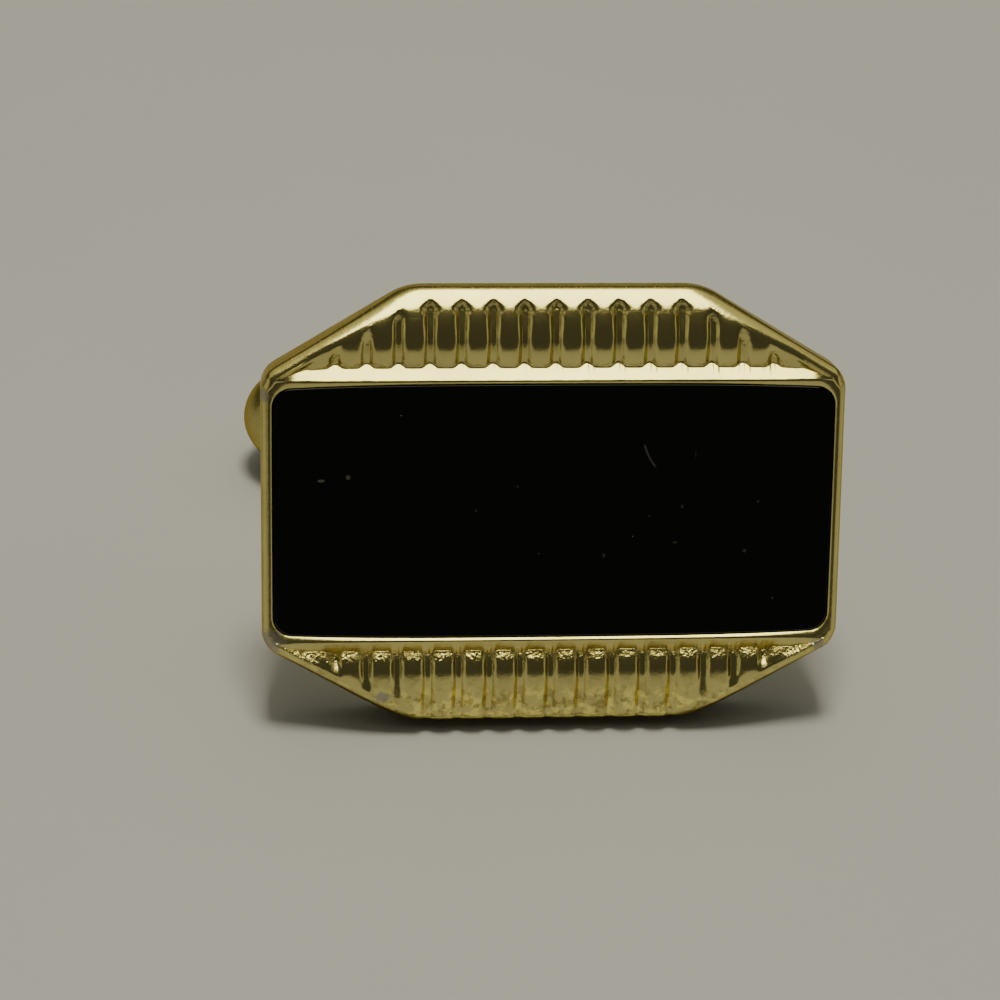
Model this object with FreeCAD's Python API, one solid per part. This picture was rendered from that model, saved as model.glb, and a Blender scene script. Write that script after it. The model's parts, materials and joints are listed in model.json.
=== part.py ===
import FreeCAD, Part
import math
import os

from FreeCAD import Vector

# A swivel-bar cufflink, in millimetres. The pieces are drawn in the face's own frame: X along the
# face, Z up the face, and Y from front to back, with Y = 0 on the ring that bears on the cuff.
# They are then leaned back together until the face's lower rear edge and the bar rest on Z = 0.

# Black stone: a long flat-topped tablet with slightly bowed long edges
stone_length = 18.2
stone_end_height = 8.28
stone_bow = 0.1
stone_corner_radius = 0.6
stone_edge_height = 0.85
stone_bevel_width = 0.4
stone_crown = 0.12
bow_reach_share = 0.7

# Seat of the stone
stone_clearance = 0.03
cement_thickness = 0.1
cement_margin = 0.3
seat_web = 0.59

# Gold-tone face around the stone
side_rim = 0.4
ridge_lip = 0.06
ridge_mouth = 0.1
ridge_bevel_width = 0.38
ridge_bevel_drop = 0.26
panel_height = 2.55
rim_width = 0.3
rim_drop = 0.65
corner_land = 0.375
corner_cut_width = 4.67
side_corner_radius = 0.9
top_corner_radius = 2.2
panel_corner_radius = 0.3
edge_round = 0.2
edge_steps = 3
waist_depth = 0.75
waist_draft_deg = 13.0

# Ribs of the panels above and below the stone: each rises from the ridge's foot to a crest near the
# stone and rolls down to the rim. Drops are measured back from the ridge's crest.
rib_crest_share = 0.29
rib_crest_drop = 0.045
rib_shoulder_share = 0.75
rib_shoulder_drop = 0.2

# Grooves between the ribs
groove_pitch = 1.016
groove_floor = 0.16
groove_flank_deg = 45.0
groove_foot_drop = 0.4
groove_crest_share = 0.44
groove_crest_drop = 0.19

# Back plate and the ring that is left around it
plate_thickness = 0.5
plate_sink = 0.1
plate_clearance = 0.03
plate_corner_radius = 0.5
ring_width = 0.9

# Post: a flat blade on an oval pad, with a square cam head
pad_thickness = 0.6
pad_side_margin = 0.5
pad_end_margin = 1.0
pad_top_share = 0.88
post_half_width = 1.2
post_thickness = 1.6
foot_rise = 0.4
foot_flare = 1.0
cam_rise = 0.07

# Pivot pin, fixed in the bar and free in the post
pin_radius = 0.6
pin_clearance = 0.05

# Swivel bar: a slotted tube with two domed ends, and the leaf spring inside it
bar_tube_length = 14.0
bar_wall = 0.4
bar_end_depth = 3.0
spigot_length = 1.0
spigot_clearance = 0.02
slot_side_clearance = 0.1
slot_end_clearance = 0.15
heel_gap = 0.5
spring_end_gap = 2.2
spring_width = 1.4
spring_thickness = 0.15
spring_bow = 0.17
spring_gap = 0.05
spring_seat_clearance = 0.02

# Every cut runs past its surface by this much
overrun = 1.0

# Sizes that follow from the ones above
stone_half = stone_length / 2
stone_end_half = stone_end_height / 2
stone_mid_half = stone_end_half + stone_bow
crest_z = stone_mid_half + ridge_mouth + stone_clearance
foot_z = crest_z + ridge_bevel_width
face_half_height = foot_z + panel_height
rib_crest_z = foot_z + rib_crest_share * panel_height
rib_shoulder_z = foot_z + rib_shoulder_share * panel_height
groove_crest_z = foot_z + groove_crest_share * panel_height
face_half_width = stone_half + side_rim
side_half = stone_end_half + corner_land
top_half = face_half_width - corner_cut_width

pocket_depth = ridge_lip + stone_edge_height + cement_thickness
frame_depth = pocket_depth + seat_web + plate_thickness + plate_sink
front_y = -frame_depth
pocket_floor_y = front_y + pocket_depth
plate_front_y = -plate_thickness - plate_sink
pad_back_y = pad_thickness - plate_sink
waist_inset = waist_depth * math.tan(math.radians(waist_draft_deg))

bar_half_length = bar_tube_length / 2 + bar_end_depth
pivot_y = pad_back_y + foot_rise + foot_flare + heel_gap + bar_half_length
cam_radius = post_half_width + cam_rise
spring_top = cam_radius + spring_gap
spring_end_bottom = spring_top + spring_thickness + spring_bow
spring_length = bar_tube_length - 2 * spring_end_gap
post_corner_reach = math.hypot(post_half_width, post_thickness / 2)
bore_radius = max(
    math.hypot(spring_end_bottom, spring_width / 2) + spring_seat_clearance,
    post_corner_reach + slot_side_clearance,
)
bar_radius = bore_radius + bar_wall
slot_width = post_thickness + 2 * slot_side_clearance
slot_end = post_half_width + slot_end_clearance
heel_depth = bar_end_depth / math.sqrt(1 - (slot_width / 2 / bar_radius) ** 2)

# The lean at which the lower rear edge and the underside of the bar touch one flat surface
rear_edge_half = face_half_height - waist_inset
lean_deg = math.degrees(
    math.atan2(rear_edge_half, pivot_y) - math.asin(bar_radius / math.hypot(rear_edge_half, pivot_y))
)

FACE_CORNERS = [
    Vector(-top_half, 0, -face_half_height),
    Vector(top_half, 0, -face_half_height),
    Vector(face_half_width, 0, -side_half),
    Vector(face_half_width, 0, side_half),
    Vector(top_half, 0, face_half_height),
    Vector(-top_half, 0, face_half_height),
    Vector(-face_half_width, 0, side_half),
    Vector(-face_half_width, 0, -side_half),
]
STONE_CORNERS = [
    Vector(-stone_half, 0, -stone_end_half),
    Vector(0, 0, -stone_mid_half),
    Vector(stone_half, 0, -stone_end_half),
    Vector(stone_half, 0, stone_end_half),
    Vector(0, 0, stone_mid_half),
    Vector(-stone_half, 0, stone_end_half),
]


def inset_corners(corners, inset):
    """Move every edge of a convex outline inwards (outwards if negative) and return its new corners."""
    count = len(corners)
    moved = []
    for i, corner in enumerate(corners):
        before = (corner - corners[i - 1]).normalize()
        after = (corners[(i + 1) % count] - corner).normalize()
        half_turn = before.getAngle(after) / 2
        inward = (after - before).normalize()
        moved.append(corner + inward * (inset / math.cos(half_turn)))
    return moved


def rounded_wire(corners, radii, y):
    """Close an outline at depth y, with an arc of the given radius at each corner."""
    count = len(corners)
    arcs = []
    for i, corner in enumerate(corners):
        back = (corners[i - 1] - corner).normalize()
        ahead = (corners[(i + 1) % count] - corner).normalize()
        half_angle = back.getAngle(ahead) / 2
        inward = (back + ahead).normalize()
        reach = radii[i] / math.tan(half_angle)
        crown = radii[i] / math.sin(half_angle) - radii[i]
        arcs.append((corner + back * reach, corner + inward * crown, corner + ahead * reach))
    edges = []
    for i, (start, middle, end) in enumerate(arcs):
        edges.append(Part.Arc(start, middle, end).toShape())
        edges.append(Part.LineSegment(end, arcs[(i + 1) % count][0]).toShape())
    wire = Part.Wire(edges)
    wire.translate(Vector(0, y, 0))
    return wire


def face_wire(inset, least_radius, y):
    """The face's outline, inset and set at depth y; its arcs shrink with it, down to a least radius."""
    radii = []
    for corner in FACE_CORNERS:
        outer = top_corner_radius if abs(corner.x) < face_half_width else side_corner_radius
        radii.append(max(outer - inset, least_radius))
    return rounded_wire(inset_corners(FACE_CORNERS, inset), radii, y)


def stone_wire(inset, y):
    """The stone's outline, inset and set at depth y; its long edges bow in one wide arc each."""
    bow_half_angle = math.atan2(stone_half, stone_bow)
    bow_radius = bow_reach_share * stone_half * math.tan(bow_half_angle)
    radii = [stone_corner_radius - inset if corner.x else bow_radius for corner in STONE_CORNERS]
    return rounded_wire(inset_corners(STONE_CORNERS, inset), radii, y)


def prism(wire, depth):
    """Solid from a wire of constant Y, extruded along Y."""
    return Part.Face(wire).extrude(Vector(0, depth, 0))


def face_block():
    """Eight-sided block: it narrows at the back, stands upright, and ends in a stepped quarter round."""
    wires = [face_wire(waist_inset, 0, 0)]
    wires.append(face_wire(0, 0, -waist_depth))
    for step in range(edge_steps + 1):
        turn = math.radians(90) * step / edge_steps
        inset = edge_round * (1 - math.cos(turn))
        y = front_y + edge_round * (1 - math.sin(turn))
        wires.append(face_wire(inset, 0, y))
    return Part.makeLoft(wires, True, True)


def run_along_face(section):
    """Solid whose section is given by (drop, Z) points, run along the whole width of the face."""
    points = [Vector(-face_half_width, front_y + drop, z) for drop, z in section]
    return Part.Face(Part.makePolygon(points + points[:1])).extrude(Vector(2 * face_half_width, 0, 0))


def above_panel(valley):
    """Everything in front of the panel: from the ridge's crest over the valley to the rolled outer edge."""
    beyond_z = face_half_height + overrun
    section = [(-overrun, crest_z), (0, crest_z)] + valley
    section += [
        (rib_crest_drop, rib_crest_z),
        (rib_shoulder_drop, rib_shoulder_z),
        (rim_drop, face_half_height),
        (rim_drop, beyond_z),
        (-overrun, beyond_z),
    ]
    return run_along_face(section)


def groove(x):
    """One groove, of tapering section: its floor arches up from the ridge's foot and down to the rim."""
    floor_y = front_y + groove_crest_drop
    top_y = front_y - overrun
    floor_half = groove_floor / 2
    mouth_half = floor_half + (floor_y - top_y) * math.tan(math.radians(groove_flank_deg))
    points = [
        Vector(x - floor_half, floor_y, groove_crest_z),
        Vector(x + floor_half, floor_y, groove_crest_z),
        Vector(x + mouth_half, top_y, groove_crest_z),
        Vector(x - mouth_half, top_y, groove_crest_z),
    ]
    section = Part.Face(Part.makePolygon(points + points[:1]))
    to_rim = Vector(0, rim_drop - groove_crest_drop, face_half_height - groove_crest_z)
    to_foot = Vector(0, groove_foot_drop - groove_crest_drop, foot_z - groove_crest_z)
    return [section.extrude(to_rim), section.extrude(to_foot)]


def panel_cuts():
    """Cuts for the upper panel: its roll all over, and the valley and grooves inside the rim."""
    inside_rim = prism(face_wire(rim_width, panel_corner_radius, front_y - overrun), frame_depth + overrun)
    groove_count = int(face_half_width / groove_pitch)
    tools = [above_panel([(ridge_bevel_drop, foot_z)])]
    for k in range(-groove_count, groove_count + 1):
        tools += groove(k * groove_pitch)
    return [above_panel([])] + [tool.common(inside_rim) for tool in tools]


def stone_pocket():
    """Straight-walled seat for the stone, widening at the mouth up to the ridge's crest."""
    mouth_y = front_y + ridge_lip
    seat = prism(stone_wire(-stone_clearance, pocket_floor_y), front_y - overrun - pocket_floor_y)
    wide = stone_clearance + ridge_mouth
    mouth = Part.makeLoft([stone_wire(-stone_clearance, mouth_y), stone_wire(-wide, front_y)], True, True)
    return [seat, mouth]


def plate_wire(inset, y):
    """Outline of the back plate's recess, inset and set at depth y."""
    return face_wire(waist_inset + ring_width + inset, plate_corner_radius, y)


def make_front_frame():
    """Cast face: rim, fluted panels, ridge round the stone's seat, and the recess for the back plate."""
    cuts = []
    for shape in panel_cuts():
        cuts += [shape, shape.mirror(Vector(0, 0, 0), Vector(0, 0, 1))]
    recess = prism(plate_wire(0, plate_front_y), overrun - plate_front_y)
    frame = face_block()
    for tool in cuts + stone_pocket() + [recess]:
        frame = frame.cut(tool)
    return frame.removeSplitter()


def make_stone():
    """Tablet with a straight edge, a sloping bevel and a flat table."""
    edge_y = front_y + ridge_lip
    back_y = pocket_floor_y - cement_thickness
    table = stone_wire(stone_bevel_width, edge_y - stone_crown)
    return Part.makeLoft([stone_wire(0, back_y), stone_wire(0, edge_y), table], True, True)


def make_stone_cement():
    """Thin bed of cement under the stone."""
    return prism(stone_wire(cement_margin, pocket_floor_y), -cement_thickness)


def make_back_plate():
    """Flat plate let into the back of the face."""
    return prism(plate_wire(plate_clearance, plate_front_y), plate_thickness)


def make_post_pad():
    """Oval pad with sloping sides, between the back plate and the post."""
    pad = Part.makeCone(1, pad_top_share, 1)
    pad.rotate(Vector(0, 0, 0), Vector(1, 0, 0), -90)
    stretch = FreeCAD.Matrix()
    stretch.scale(
        post_half_width + foot_flare + pad_side_margin,
        pad_thickness,
        post_thickness / 2 + pad_end_margin,
    )
    pad = pad.transformGeometry(stretch)
    pad.translate(Vector(0, -plate_sink, 0))
    return pad


def make_post():
    """Flat blade: flared foot, straight neck, and a head whose rounded corners act as a cam."""
    w = post_half_width
    foot_half = w + foot_flare
    rise_y = pad_back_y + foot_rise
    neck_y = rise_y + foot_flare
    flat = math.sqrt(cam_radius**2 - w**2)
    flare_in = foot_flare * (1 - math.sin(math.radians(45)))
    corner = cam_radius * math.sin(math.radians(45))
    half_outline = [
        (Part.LineSegment, [(foot_half, pad_back_y), (foot_half, rise_y)]),
        (Part.Arc, [(foot_half, rise_y), (w + flare_in, rise_y + flare_in), (w, neck_y)]),
        (Part.LineSegment, [(w, neck_y), (w, pivot_y + flat)]),
        (Part.Arc, [(w, pivot_y + flat), (corner, pivot_y + corner), (flat, pivot_y + w)]),
    ]
    edges = []
    for side in (1, -1):
        for curve, points in half_outline:
            edges.append(curve(*[Vector(side * x, y, 0) for x, y in points]).toShape())
    edges.append(Part.makeLine(Vector(flat, pivot_y + w, 0), Vector(-flat, pivot_y + w, 0)))
    edges.append(Part.makeLine(Vector(foot_half, pad_back_y, 0), Vector(-foot_half, pad_back_y, 0)))
    outline = Part.Wire(Part.__sortEdges__(edges))
    blade = Part.Face(outline).extrude(Vector(0, 0, post_thickness))
    blade.translate(Vector(0, 0, -post_thickness / 2))
    return blade.cut(pin_cylinder(pin_radius + pin_clearance))


def pin_cylinder(radius):
    """Cylinder on the pivot's axis, longer than the bar is thick."""
    reach = bar_radius + overrun
    return Part.makeCylinder(radius, 2 * reach, Vector(0, pivot_y, -reach), Vector(0, 0, 1))


def bar_cylinder(radius, length):
    """Cylinder on the bar's axis, centred on the pivot."""
    return Part.makeCylinder(radius, length, Vector(-length / 2, pivot_y, 0), Vector(1, 0, 0))


def slot_box(start_x, far_y):
    """Cut for the post, from start_x out through the heel, and from the face side down to far_y."""
    near_y = pivot_y - bar_radius - overrun
    length = bar_half_length + overrun - start_x
    return Part.makeBox(length, far_y - near_y, slot_width, Vector(start_x, near_y, -slot_width / 2))


def make_bar_tube():
    """Tube of the swivel bar, slotted on the face side from just past the pivot to the heel."""
    tube = bar_cylinder(bar_radius, bar_tube_length)
    tube = tube.cut(bar_cylinder(bore_radius, bar_tube_length + overrun))
    tube = tube.cut(slot_box(-slot_end, pivot_y))
    return tube.cut(pin_cylinder(pin_radius))


def bar_end(depth):
    """Domed end on the heel side, with a spigot that plugs into the tube."""
    dome = Part.makeSphere(1, Vector(0, 0, 0), Vector(0, 0, 1), 0, 90, 360)
    dome.rotate(Vector(0, 0, 0), Vector(0, 1, 0), 90)
    stretch = FreeCAD.Matrix()
    stretch.scale(depth, bar_radius, bar_radius)
    dome = dome.transformGeometry(stretch)
    tube_end = bar_tube_length / 2
    dome.translate(Vector(tube_end, pivot_y, 0))
    foot = Vector(tube_end - spigot_length, pivot_y, 0)
    spigot = Part.makeCylinder(bore_radius - spigot_clearance, spigot_length, foot, Vector(1, 0, 0))
    return dome.fuse(spigot).removeSplitter()


def make_bar_nose():
    """Plain domed end."""
    return bar_end(bar_end_depth).mirror(Vector(0, 0, 0), Vector(1, 0, 0))


def make_bar_heel():
    """Domed end, forked so that the post lies in it when the bar is in line; its tips match the nose."""
    return bar_end(heel_depth).cut(slot_box(0, pivot_y + slot_end))


def make_leaf_spring():
    """Bowed strip behind the post's head, its two ends seated on the tube's bore."""
    half = spring_length / 2
    edges = []
    for y in (pivot_y + spring_top, pivot_y + spring_top + spring_thickness):
        bowed = [Vector(-half, y + spring_bow, 0), Vector(0, y, 0), Vector(half, y + spring_bow, 0)]
        edges.append(Part.Arc(*bowed).toShape())
    for x in (-half, half):
        y = pivot_y + spring_top + spring_bow
        edges.append(Part.makeLine(Vector(x, y, 0), Vector(x, y + spring_thickness, 0)))
    strip = Part.Face(Part.Wire(Part.__sortEdges__(edges))).extrude(Vector(0, 0, spring_width))
    strip.translate(Vector(0, 0, -spring_width / 2))
    return strip


def make_pivot_pin():
    """Pin across the bar, its ends finished flush with the tube."""
    return pin_cylinder(pin_radius).common(bar_cylinder(bar_radius, bar_tube_length))


def build():
    """Make every piece, lean them back together and set them down, centred on the origin."""
    pieces = {
        "front_frame": make_front_frame(),
        "stone": make_stone(),
        "stone_cement": make_stone_cement(),
        "back_plate": make_back_plate(),
        "post_pad": make_post_pad(),
        "post": make_post(),
        "bar_tube": make_bar_tube(),
        "bar_nose": make_bar_nose(),
        "bar_heel": make_bar_heel(),
        "leaf_spring": make_leaf_spring(),
        "pivot_pin": make_pivot_pin(),
    }
    for shape in pieces.values():
        shape.rotate(Vector(0, 0, 0), Vector(1, 0, 0), -lean_deg)
    box = Part.makeCompound(list(pieces.values())).optimalBoundingBox()
    drop = Vector(-box.Center.x, -box.Center.y, -box.ZMin)
    for shape in pieces.values():
        shape.translate(drop)
    return pieces, drop


def main():
    os.makedirs("parts", exist_ok=True)
    pieces, drop = build()
    for name, shape in pieces.items():
        shape.exportStep(os.path.join("parts", name + ".step"))
        print(name, len(shape.Solids), shape.isValid(), round(shape.Volume, 3))
    print("lean", round(lean_deg, 3), "pivot_y", round(pivot_y, 3), "bar_radius", round(bar_radius, 3))


main()
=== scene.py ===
import json
import math

import bmesh
import bpy
import numpy as np
from mathutils import Matrix, Vector


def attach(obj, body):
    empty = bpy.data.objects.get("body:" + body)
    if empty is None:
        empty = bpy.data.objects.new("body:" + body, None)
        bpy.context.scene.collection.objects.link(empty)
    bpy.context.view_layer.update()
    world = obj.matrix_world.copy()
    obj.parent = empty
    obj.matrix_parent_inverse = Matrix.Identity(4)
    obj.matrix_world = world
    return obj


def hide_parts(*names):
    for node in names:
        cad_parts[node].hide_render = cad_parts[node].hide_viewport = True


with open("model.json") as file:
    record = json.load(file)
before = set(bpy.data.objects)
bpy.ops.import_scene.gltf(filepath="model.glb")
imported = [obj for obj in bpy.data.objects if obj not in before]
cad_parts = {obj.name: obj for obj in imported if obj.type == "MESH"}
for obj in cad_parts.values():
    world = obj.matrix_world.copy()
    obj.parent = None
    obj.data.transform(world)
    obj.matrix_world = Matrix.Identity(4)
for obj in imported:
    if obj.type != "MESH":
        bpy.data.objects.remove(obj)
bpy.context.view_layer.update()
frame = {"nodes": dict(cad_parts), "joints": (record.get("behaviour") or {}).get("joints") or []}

# Sizes in millimetres, in the face's own frame: X along the face, Z up the face and Y from front to
# back, with Y = 0 on the rear ring. They repeat the part's driving dimensions.
STONE_HALF = 9.1
STONE_END_HALF = 4.14
STONE_MIDDLE_HALF = 4.215
STONE_BOW = 0.1
STONE_CORNER = 0.6
SEAT_GAP = 0.03
POCKET_DEPTH = 1.01
CEMENT_THICKNESS = 0.1
LIP_DROP = 0.06
CREST_Z = 4.37
FACE_HALF_WIDTH = 9.5
FACE_HALF_HEIGHT = 7.3
SIDE_HALF = 4.515
TOP_HALF = 4.83
SIDE_CORNER = 0.9
TOP_CORNER = 2.2
FRAME_DEPTH = 2.2
WAIST_DEPTH = 0.75
WAIST_INSET = 0.173
RING_WIDTH = 0.9
PLATE_CORNER = 0.5
PLATE_GAP = 0.03
PLATE_THICKNESS = 0.5
PLATE_SINK = 0.1
PLATE_MIDDLE_HALF = 4
EDGE_ROUND = 0.2
GROOVE_PITCH = 1.016
PAD_HALF_WIDTH = 2.7
PAD_HALF_HEIGHT = 1.8
PAD_BACK = 0.5
POST_HALF = 1.2
POST_HALF_THICK = 0.8
POST_FLARE = 1.0
POST_RISE = 0.4
POST_CORNER = 0.16
POST_EASE = 0.16
POST_SOFTEN = 0.06
CAM_RADIUS = 1.27
PIVOT_Y = 12.4
PIN_RADIUS = 0.6
PIN_GAP = 0.05
BAR_RADIUS = 2.203
BORE_RADIUS = 1.803
TUBE_HALF = 7.0
END_DEPTH = 3.0
SLOT_HALF = 0.9
SLOT_END = 1.35
HEEL_DEPTH = END_DEPTH / math.sqrt(1 - (SLOT_HALF / BAR_RADIUS) ** 2)
SPIGOT_GAP = 0.02
SPIGOT_LENGTH = 1.0
SPIGOT_CHAMFER = 0.06
BAR_SOFTEN = 0.07
SPRING_HALF = 4.8
SPRING_HALF_WIDTH = 0.7
SPRING_THICKNESS = 0.15
SPRING_BOW = 0.17
SPRING_TOP = 1.32

# Steps along each side and corner of the face's outline, and how far the steps crowd towards the grooves
SIDE_STEPS = (224, 108, 56, 108) * 2
CORNER_STEPS = (24, 24, 14, 14) * 2
GROOVE_CROWD = 0.5
# Angles in radians between which the post's head is round
HEAD_ARC = (0.34, 1.237)
# Angles in degrees above which an edge counts as hard, after a cut and for softening
CUT_SHARP = 28
SOFTEN_SHARP = 40

# The face leans back with the hinge's axis, and the bar's pivot gives its place
hinge = frame["joints"][0]
axis = np.array(hinge["axis"])
up_face = -axis
to_back = np.array([0.0, up_face[2], -up_face[1]])
along = np.array([1.0, 0.0, 0.0])
face_origin = np.array(hinge["pos_m"]) - to_back * PIVOT_Y / 1000


def place(points):
    """Face-frame millimetres (..., 3) to the part's frame in metres: a lean and a shift."""
    x, y, z = np.moveaxis(np.asarray(points, float) / 1000, -1, 0)
    return face_origin + x[..., None] * along + y[..., None] * to_back + z[..., None] * up_face


def smooth(low, high, x):
    """Smooth step: 0 below low, 1 above high, and a cubic with flat ends between."""
    t = np.clip((x - low) / (high - low), 0, 1)
    return t * t * (3 - 2 * t)


def curve_through(knots, x):
    """Cubic through knots (x, height, slope): each stretch is a Hermite blend of its ends' heights and
    slopes."""
    k = np.array(knots, float)
    x = np.clip(x, k[0, 0], k[-1, 0])
    i = np.clip(np.searchsorted(k[:, 0], x, side="right") - 1, 0, len(k) - 2)
    a, b = k[i], k[i + 1]
    h = b[..., 0] - a[..., 0]
    t = (x - a[..., 0]) / h
    rise = a[..., 1] + (b[..., 1] - a[..., 1]) * t * t * (3 - 2 * t)
    return rise + h * t * (1 - t) * (a[..., 2] * (1 - t) - b[..., 2] * t)


def grid_quads(rows, columns):
    """Corner numbers of the quads of a grid whose columns close on themselves."""
    index = np.arange(rows * columns).reshape(rows, columns)
    right = np.roll(index, -1, axis=1)
    quads = np.stack([index[:-1], right[:-1], right[1:], index[1:]], axis=-1)
    return quads.reshape(-1, 4)


def make_piece(name, points, quads, finish=None, body=None, nodes=(), marks=None, sharp=None):
    """Mesh from face-frame points and quads, with doubles merged and normals turned outwards. With a
    finish it is a piece that rides on a body and replaces nodes; without one it only serves to cut."""
    mesh = bpy.data.meshes.new(name)
    mesh.from_pydata(place(points).reshape(-1, 3).tolist(), [], quads.tolist())
    for key, values in (marks or {}).items():
        layer = mesh.attributes.new(key, "FLOAT", "POINT")
        layer.data.foreach_set("value", np.ascontiguousarray(values, np.float32).ravel())
    shell = bmesh.new()
    shell.from_mesh(mesh)
    bmesh.ops.remove_doubles(shell, verts=shell.verts, dist=1e-8)
    bmesh.ops.recalc_face_normals(shell, faces=shell.faces)
    shell.to_mesh(mesh)
    shell.free()
    mesh.shade_smooth()
    if sharp:
        mesh.set_sharp_from_angle(angle=math.radians(sharp))
    piece = bpy.data.objects.new(name, mesh)
    bpy.context.scene.collection.objects.link(piece)
    if finish:
        mesh.materials.append(finish)
        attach(piece, body)
        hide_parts(*nodes)
    return piece


def cut_away(piece, cutter):
    """Takes one closed shell out of another, deletes the cutter and marks the hard edges of what is
    left."""
    cut = piece.modifiers.new("cut", "BOOLEAN")
    cut.operation = "DIFFERENCE"
    cut.solver = "EXACT"
    cut.object = cutter
    bpy.context.view_layer.update()
    shape = piece.evaluated_get(bpy.context.evaluated_depsgraph_get())
    mesh = bpy.data.meshes.new_from_object(shape)
    piece.modifiers.clear()
    piece.data = mesh
    bpy.data.objects.remove(cutter)
    mesh.shade_smooth()
    mesh.set_sharp_from_angle(angle=math.radians(CUT_SHARP))


def soften(piece, width):
    """Rounds a piece's hard edges by width millimetres."""
    bevel = piece.modifiers.new("soften", "BEVEL")
    bevel.width = width / 1000
    bevel.segments = 3
    bevel.limit_method = "ANGLE"
    bevel.angle_limit = math.radians(SOFTEN_SHARP)
    bevel.harden_normals = True


def eight_sides(inset, least=0.0):
    """The face's eight-sided outline moved in by inset: straight sides joined by arcs that shrink with
    it, to a least radius. Returns (n, 2) points and outward normals, with the same count whatever the
    inset."""
    w, h, s, t = FACE_HALF_WIDTH, FACE_HALF_HEIGHT, SIDE_HALF, TOP_HALF
    corners = np.array([(-t, -h), (t, -h), (w, -s), (w, s), (t, h), (-t, h), (-w, s), (-w, -s)])
    radii = np.maximum(np.array([TOP_CORNER, TOP_CORNER, SIDE_CORNER, SIDE_CORNER] * 2) - inset, least)
    return rounded(corners, radii, inset, SIDE_STEPS, CORNER_STEPS, GROOVE_CROWD)


def crowded(first, last, steps, crowd):
    """Shares along a side, even or drawn towards the grooves by a sine of the groove pitch, which dies away
    at the side's ends."""
    share = np.linspace(0, 1, steps, endpoint=False)
    span = last - first
    if not crowd or abs(span) < 1:
        return share
    wave = np.sin(2 * math.pi * (first + span * share) / GROOVE_PITCH)
    wave = wave * crowd * GROOVE_PITCH / (2 * math.pi)
    return share - wave * np.minimum(1, 10 * np.minimum(share, 1 - share)) / span


def rounded(corners, radii, inset, side_steps, corner_steps, crowd=0):
    """Convex outline moved in by inset, with an arc at each corner: (n, 2) points and outward normals."""
    ahead = np.roll(corners, -1, 0) - corners
    ahead /= np.linalg.norm(ahead, axis=1)[:, None]
    normal = np.stack([ahead[:, 1], -ahead[:, 0]], 1)
    before = np.roll(normal, 1, 0)
    bisector = (normal + before) / (1 + (normal * before).sum(1))[:, None]
    corners = corners - inset * bisector
    centres = corners - np.asarray(radii)[:, None] * bisector
    points, normals = [], []
    for i in range(len(corners)):
        j = (i + 1) % len(corners)
        start = math.atan2(before[i, 1], before[i, 0])
        cross = before[i, 0] * normal[i, 1] - before[i, 1] * normal[i, 0]
        turn = math.atan2(cross, before[i] @ normal[i])
        angle = start + turn * np.linspace(0, 1, corner_steps[i], endpoint=False)
        ray = np.stack([np.cos(angle), np.sin(angle)], 1)
        points.append(centres[i] + radii[i] * ray)
        normals.append(ray)
        first, last = centres[i] + radii[i] * normal[i], centres[j] + radii[j] * normal[i]
        share = crowded(first[0], last[0], side_steps[i], crowd)[:, None]
        points.append(first + (last - first) * share)
        normals.append(np.repeat(normal[i : i + 1], side_steps[i], 0))
    return np.vstack(points), np.vstack(normals)


def stone_half_height(x):
    """Half height of the stone along its length: a middle height, less a droop that grows with the second
    and fourth powers of the distance from the middle."""
    share = x / STONE_HALF
    return STONE_MIDDLE_HALF - STONE_BOW * (0.3 * share**2 + 1.1 * share**4)


def onto_stone(x, z, gap):
    """Nearest point of the stone's outline, widened by gap, and the outward direction there. No z is
    negative."""
    radius = STONE_CORNER + gap
    core_x = np.clip(x, STONE_CORNER - STONE_HALF, STONE_HALF - STONE_CORNER)
    core_z = np.minimum(z, stone_half_height(core_x) - STONE_CORNER)
    reach = np.stack([x - core_x, z - core_z], -1)
    out = reach / np.linalg.norm(reach, axis=-1, keepdims=True)
    return np.stack([core_x, core_z], -1) + radius * out, out


# The face is one closed surface, row by row from the pocket's floor over the front and round to the back.
# Its lower half is folded up onto the upper half while it is made. Curves are knots (place, drop, slope):
# the rib's line and the groove's floor by height up the face, the plain rim, and the outer roll by the
# distance from the slanting edge and from the top edge.
RIB = [
    (4.37, 0.43, -0.46), (4.75, 0.255, -0.46), (5.0, 0.145, -0.42),
    (5.2, 0.078, -0.26), (5.38, 0.047, -0.1), (5.5, 0.042, 0),
]
FLOOR = [
    (4.37, 0.54, -0.45), (4.82, 0.365, -0.36), (5.1, 0.28, -0.27),
    (5.5, 0.21, -0.1), (5.85, 0.205, 0.05), (6.3, 0.24, 0.06), (6.7, 0.25, 0),
]
LAND = [(0, 0, 0), (4.37, 0, 0), (5.4, 0.042, 0)]
SLANT = [(0, 0.22, -0.75), (0.2, 0.1, -0.45), (0.42, 0.03, -0.2), (0.7, 0, 0)]
ROLL = [
    (0, 0.6, -1), (0.28, 0.38, -0.74), (0.54, 0.225, -0.47),
    (0.8, 0.133, -0.27), (1.2, 0.05, -0.14), (1.5, 0.016, -0.09), (1.8, 0, 0),
]
# Heights over which the slanting roll comes in, on the low half and on the upper one
SLANT_LOW = (4.2, 6.2)
SLANT_HIGH = (5.2, 6.9)
# The rim's two short sides slope outwards over a narrow band
SIDE_BAND = 0.3
SIDE_SLOPE = 0.5
# Flutes: a rib's fall towards its grooves, a groove's half floor, flank and rise, and the round where they
# meet
RIB_FALL = 0.12
RIB_POWER = 2.4
GROOVE_FLOOR_HALF = 0.07
GROOVE_FLANK = 0.14
GROOVE_RISE = 0.125
GROOVE_POWER = 1.1
MEET_ROUND = 0.015
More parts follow.
